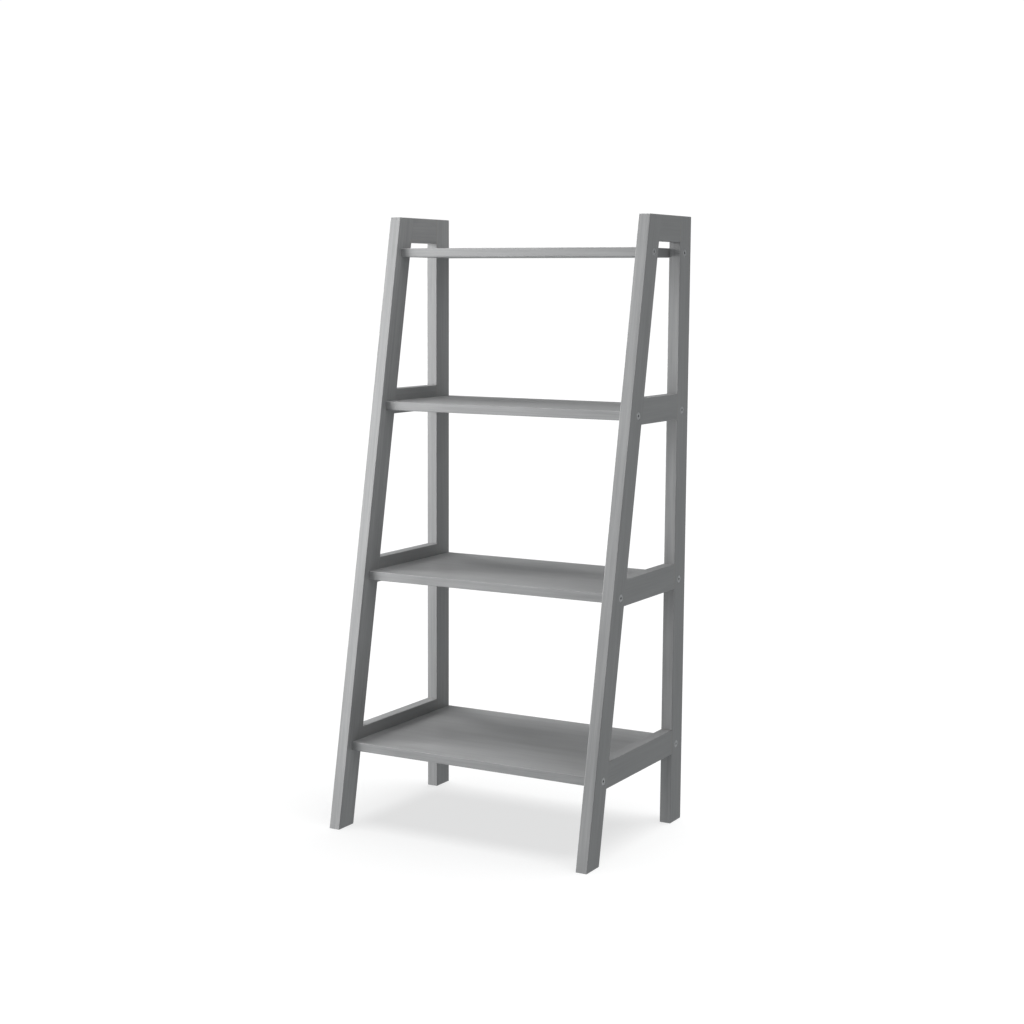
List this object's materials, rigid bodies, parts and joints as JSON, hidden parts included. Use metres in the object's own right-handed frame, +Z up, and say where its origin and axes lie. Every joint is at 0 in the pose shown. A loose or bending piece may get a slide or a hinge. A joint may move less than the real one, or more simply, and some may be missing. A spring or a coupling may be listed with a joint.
{
  "type": "ladder shelf",
  "caption": "Free-standing ladder shelf: painted wood side frames with raked front legs and upright rear legs, and open boards that get deeper towards the floor.",
  "frame": {"origin": "on the floor, at the centre of the footprint", "axes": "+Z up, -Y towards the open front with the raked legs, +Y towards the wall, +X towards the right-hand side frame seen from the front"},
  "size_m": [0.462, 0.338, 0.97],
  "materials": {
    "frame_paint": "satin grey paint over wood, grain faintly visible",
    "shelf_paint": "satin grey paint over wood, grain faintly visible",
    "screw_steel": "dull zinc-plated steel",
    "dowel_wood": "bare beech"
  },
  "bodies": {
    "root": {"left_front_leg": "frame_paint", "right_front_leg": "frame_paint", "left_rear_leg": "frame_paint", "right_rear_leg": "frame_paint", "left_top_rail": "frame_paint", "right_top_rail": "frame_paint", "left_upper_rail": "frame_paint", "right_upper_rail": "frame_paint", "left_middle_rail": "frame_paint", "right_middle_rail": "frame_paint", "left_lower_rail": "frame_paint", "right_lower_rail": "frame_paint", "top_shelf": "shelf_paint", "upper_shelf": "shelf_paint", "middle_shelf": "shelf_paint", "bottom_shelf": "shelf_paint", "top_shelf_screws": "screw_steel", "upper_shelf_screws": "screw_steel", "middle_shelf_screws": "screw_steel", "bottom_shelf_screws": "screw_steel", "left_frame_dowels": "dowel_wood", "right_frame_dowels": "dowel_wood", "shelf_dowels": "dowel_wood"}
  },
  "joints": []
}
